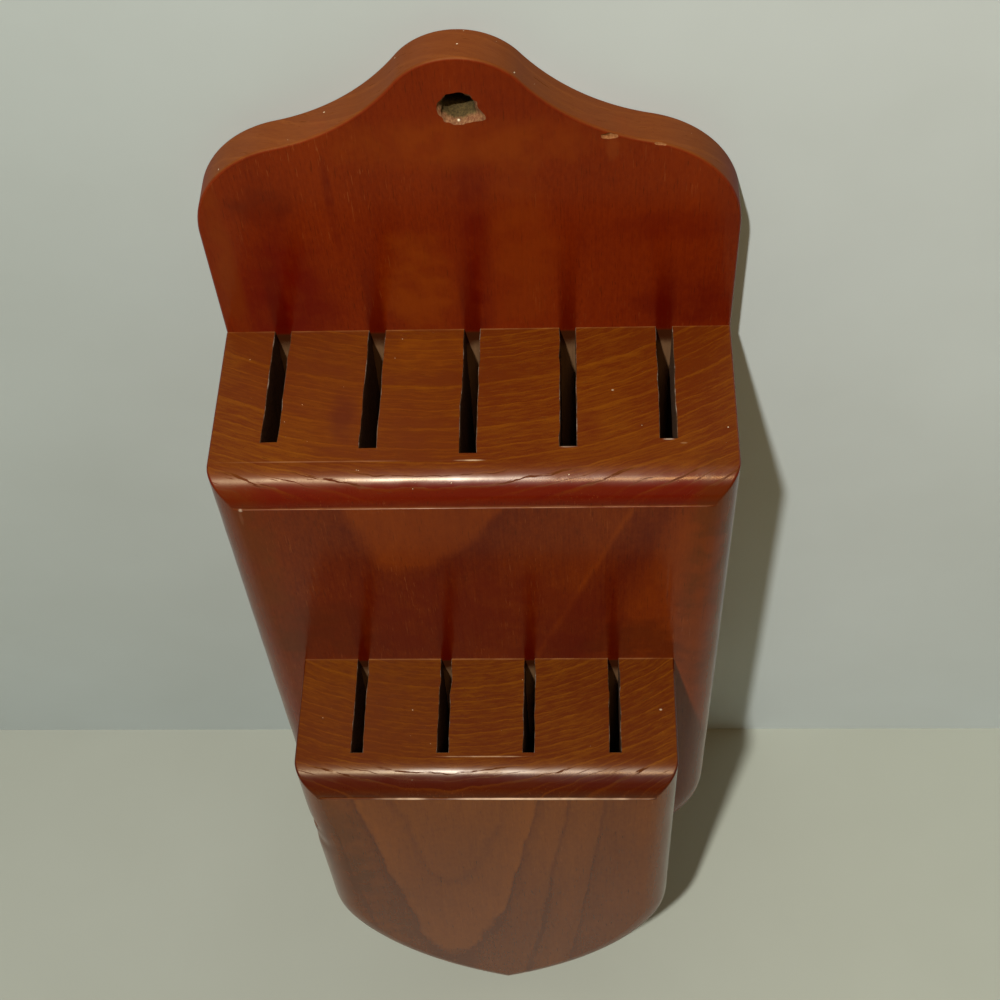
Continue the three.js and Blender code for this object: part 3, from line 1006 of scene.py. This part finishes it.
beech = raw_wood("beech", (0.42, 0.27, 0.14), (0.62, 0.44, 0.26), 53)
dowels = skin("block_dowels", dowel_rings())
dowels.data.materials.append(beech)
shade(dowels)
dowel_middle = (dowel_low.y + dowel_high.y) / 2
set_in_four_corners(
    dowels, dowel_nodes, face=dowel_middle, largest_turn=math.pi, seed=5, finish=beech
)

# Wall and table: a plain pale wall that the board hangs on, and a plain pale table just under its tip.
# The wall shows only from the front and is open behind the board, but for a patch behind the hanging
# hole, so that the back can be seen and lit. The table is warmer in front, which the lacquer mirrors.
table_level = tip_level - 4 * mm
table_half = 3.0
wall_half, wall_top = 1.2, 1.0
wall_y = 0.15 * mm
wall_overlap = 0.4 * mm
patch_radius = 1.15 * bore_radius
smudge_colour = (0.2, 0.2, 0.15)


def plain_surface(name, left, right, seed, near=None):
    """Matt paint, with painted light that makes it a little paler towards the right. It may have another
    colour near the viewer.
    """
    material, shader, place = new_material(name, Roughness=0.9, Specular_IOR_Level=0.2)
    mottle = place.clouds(0.012, 4, seed) - 0.5
    # Painted light: paler towards the right.
    colour = place.part(0).rise(-150, 180).between(left, right)
    if near:
        colour = (0 - place.part(1)).rise(110, 260).between(colour, near)
    colour = (mottle * 0.25 + 0.06).between(colour, smudge_colour)
    feed(shader, Base_Color=colour, Normal=mottle.bump(0.3, 1 * mm))
    return material


def seen_from_front(material):
    """Lets light and sight through from behind."""
    nodes, links = material.node_tree.nodes, material.node_tree.links
    surface = nodes["Principled BSDF"].outputs[0]
    start = Wire(nodes.new("ShaderNodeNewGeometry").outputs["Backfacing"])
    clear = start.node("ShaderNodeBsdfTransparent", {}, {})
    both = start.node("ShaderNodeMixShader", {}, {0: start, 1: Wire(surface), 2: clear})
    links.new(both.socket, nodes["Material Output"].inputs["Surface"])
    return material


wall_edge = [
    (-wall_half, table_level), (wall_half, table_level), (wall_half, wall_top), (-wall_half, wall_top)
]
opening = set_in(board_outline, wall_overlap)
loops = [[Vector((x, wall_y, z)) for x, z in loop] for loop in (wall_edge, opening)]
wall_points = [tuple(point) for loop in loops for point in loop]
wall_faces = [list(triangle) for triangle in tessellate_polygon(loops)]
patch = arc((0, 0), patch_radius, 0, 2 * math.pi, 24)[:-1]
wall_faces.append(list(range(len(wall_points), len(wall_points) + len(patch))))
wall_points += [(x, wall_y, z) for x, z in patch]
wall_mesh = bpy.data.meshes.new("wall")
wall_mesh.from_pydata(wall_points, [], wall_faces)
for polygon in wall_mesh.polygons:
    if polygon.normal.y > 0:
        polygon.flip()
wall_mesh.materials.append(
    seen_from_front(plain_surface("wall_paint", (0.48, 0.55, 0.555), (0.615, 0.69, 0.705), seed=61))
)
wall = add_object("wall", wall_mesh)
table_corners = [(-1, -1), (1, -1), (1, 1), (-1, 1)]
table = new_piece(
    "table", [(x * table_half, y * table_half, table_level) for x, y in table_corners], [[0, 1, 2, 3]]
)
table.data.materials.append(plain_surface(
    "table_top", (0.38, 0.41, 0.37), (0.44, 0.475, 0.42), seed=67, near=(0.33, 0.312, 0.195)
))

# Lamps: one key lamp high on the left in front, a weak warm one near the camera that opens the shadows,
# and a soft lamp behind the wall, which reaches only the back. The room gives a little even light, and
# shows pale beyond the wall and the table.
aim = Vector((0.02, -0.06, -0.2))


def lamp(name, place, size, level, colour):
    """A round lamp that gives a surface facing it at the aim point this share of full brightness."""
    towards_aim = aim - Vector(place)
    light = bpy.data.lights.new(name, "AREA")
    light.shape = "DISK"
    light.size = size
    light.color = colour
    light.energy = level * (math.pi * towards_aim.length) ** 2
    facing = towards_aim.to_track_quat("-Z", "Y").to_matrix().to_4x4()
    add_object(name, light).matrix_world = Matrix.Translation(place) @ facing


lamp("key_lamp", (-0.23, -0.768, 1.065), size=0.05, level=1.0, colour=(1, 0.97, 0.9))
lamp("warm_fill_lamp", (0.12, -0.8, 0.95), size=0.18, level=0.125, colour=(1, 0.66, 0.32))
lamp("rear_lamp", (0.6, 1.5, 0.4), size=0.9, level=0.7, colour=(1, 1, 1))
room_light = (0.014, 0.009, 0.005)
backdrop_colour = (0.36, 0.375, 0.34)
world = bpy.data.worlds.new("room")
world.use_nodes = True
paths = world.node_tree.nodes.new("ShaderNodeLightPath").outputs
seen, glossy, through = [
    Wire(paths[f"Is {kind} Ray"]) for kind in ("Camera", "Glossy", "Transmission")
]
shows_backdrop = seen.math("MAXIMUM", seen.math("MAXIMUM", seen, glossy), through)
room = shows_backdrop.between(room_light, backdrop_colour)
background = world.node_tree.nodes["Background"]
world.node_tree.links.new(room.socket, background.inputs["Color"])
bpy.context.scene.world = world

# Camera: above the block and close to it, looking steeply down from a little right of the middle. Its
# place, turn and lens were solved from the straight edges in the photo.
camera = add_object("camera", bpy.data.cameras.new("camera"))
camera.data.sensor_width = 36
camera.data.lens = 58.64
camera.data.clip_start = 0.01
right = Vector((0.99873641, 0.02113069, -0.04559695))
up = Vector((0.00867054, 0.82125019, 0.57050237))
forward = Vector((-0.04950161, 0.57017684, -0.82002925))
turned = Matrix((right, up, -forward)).transposed().to_4x4()
camera.matrix_world = Matrix.Translation((0.03092, -0.33377, 0.28670)) @ turned
bpy.context.scene.camera = camera
bpy.context.scene.view_settings.view_transform = "Standard"
